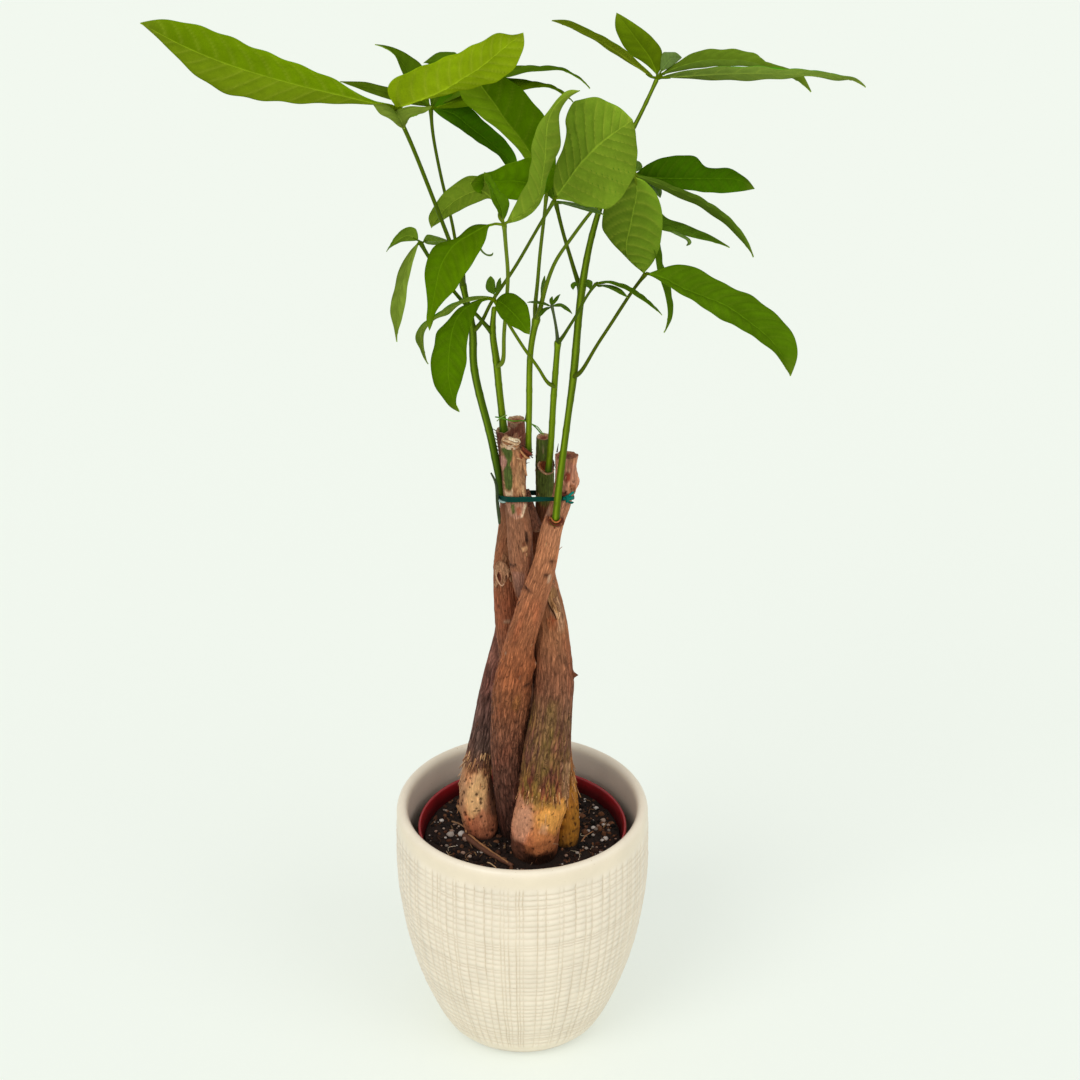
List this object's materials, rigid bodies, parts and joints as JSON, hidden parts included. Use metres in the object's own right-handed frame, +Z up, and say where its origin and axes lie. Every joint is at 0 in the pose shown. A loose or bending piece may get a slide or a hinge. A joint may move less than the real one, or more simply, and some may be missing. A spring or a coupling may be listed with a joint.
{
  "type": "potted money tree",
  "caption": "Braided-trunk money tree with green shoots and palmate leaflets, growing in soil in a round nursery pot that stands inside a tapered ceramic cover pot.",
  "frame": {"origin": "centre of the cover pot's flat underside", "axes": "+Z up along the pot's axis, -Y towards the front of the plant, +X to the right seen from the front"},
  "size_m": [0.3735, 0.1755, 0.6565],
  "materials": {
    "cover_ceramic": "satin cream glaze over a fine linen-like relief",
    "nursery_plastic": "dark red semi-gloss",
    "soil": "dark moist potting mix with perlite",
    "bark": "peeling matte bark",
    "band": "teal plastic tie",
    "twine": "thin green thread",
    "stem": "smooth green stem",
    "leaf": "semi-gloss leaf"
  },
  "bodies": {
    "root": {"cover_pot": "cover_ceramic", "nursery_pot": "nursery_plastic", "soil": "soil", "trunk_1": "bark", "trunk_2": "bark", "trunk_3": "bark", "trunk_4": "bark", "trunk_5": "bark", "tie_band": "band", "plant_twine": "twine", "shoot_1": "stem", "shoot_2": "stem", "shoot_3": "stem", "shoot_4": "stem", "shoot_5": "stem", "stalk_a": "stem", "stalk_b": "stem", "stalk_d": "stem", "stalk_g": "stem", "stalk_h": "stem", "stalk_i": "stem", "stalk_j": "stem", "stalk_k": "stem", "stalk_l": "stem", "stalk_n": "stem", "stalk_sl": "stem", "stalk_sr": "stem", "leaflet_a1": "leaf", "leaflet_a2": "leaf", "leaflet_a3": "leaf", "leaflet_a4": "leaf", "leaflet_a5": "leaf", "leaflet_a6": "leaf", "leaflet_a7": "leaf", "leaflet_b1": "leaf", "leaflet_b2": "leaf", "leaflet_b3": "leaf", "leaflet_c1": "leaf", "leaflet_d1": "leaf", "leaflet_e1": "leaf", "leaflet_f1": "leaf", "leaflet_f2": "leaf", "leaflet_f3": "leaf", "leaflet_g1": "leaf", "leaflet_g2": "leaf", "leaflet_h1": "leaf", "leaflet_i2": "leaf", "leaflet_i3": "leaf", "leaflet_i4": "leaf", "leaflet_j1": "leaf", "leaflet_j2": "leaf", "leaflet_k1": "leaf", "leaflet_k2": "leaf", "leaflet_k3": "leaf", "leaflet_m1": "leaf", "leaflet_m2": "leaf", "leaflet_m4": "leaf", "leaflet_m5": "leaf", "leaflet_n1": "leaf"}
  },
  "joints": []
}
